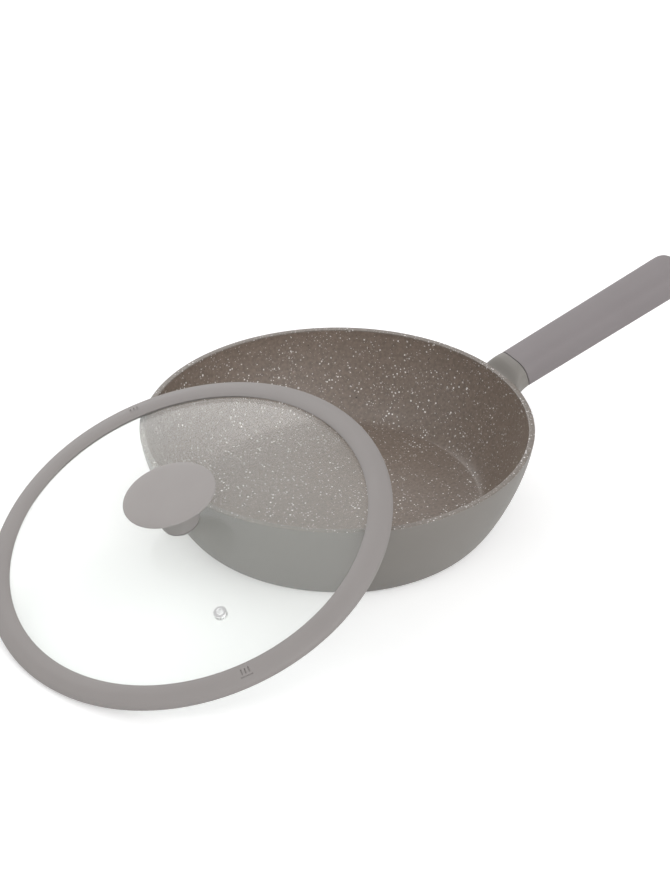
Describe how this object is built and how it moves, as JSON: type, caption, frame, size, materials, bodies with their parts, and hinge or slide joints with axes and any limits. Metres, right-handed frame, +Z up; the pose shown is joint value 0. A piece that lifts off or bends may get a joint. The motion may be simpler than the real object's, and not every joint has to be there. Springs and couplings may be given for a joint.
{
  "type": "deep frying pan with lid",
  "caption": "Deep round non-stick frying pan with one rising straight handle, and its domed glass lid with a silicone ring, steam vent and mushroom knob, leaning on the rim.",
  "frame": {"origin": "centre of the underside of the pan's base, on the surface it stands on", "axes": "+Z up along the pan's axis, +X along the handle, the lid leaning on the rim towards -X"},
  "size_m": [0.5805, 0.3319, 0.1234],
  "materials": {
    "body_paint": "cast, with matt taupe paint outside and a speckled stone-effect non-stick coat inside",
    "base_steel": "turned, satin",
    "grip_plastic": "soft-touch matt",
    "fixing_steel": "plated",
    "clear_glass": "clear, tempered",
    "ring_silicone": "matt silicone",
    "vent_steel": "polished",
    "knob_plastic": "soft-touch matt",
    "bush_brass": "turned",
    "gasket_silicone": "matt silicone"
  },
  "bodies": {
    "pan": {"pan_body": "body_paint", "induction_plate": "base_steel", "handle_grip": "grip_plastic", "handle_washer": "fixing_steel", "handle_screw": "fixing_steel"},
    "lid": {"lid_glass": "clear_glass", "lid_rim": "ring_silicone", "vent_eyelet": "vent_steel", "knob_body": "knob_plastic", "knob_insert": "bush_brass", "knob_gasket_top": "gasket_silicone", "knob_gasket_bottom": "gasket_silicone", "knob_washer": "fixing_steel", "knob_screw": "fixing_steel"}
  },
  "joints": [
    {"name": "lid_lift", "type": "slide", "parent": "pan", "child": "lid", "axis": [0, 0, 1], "range_m": [0, 0.16]}
  ]
}
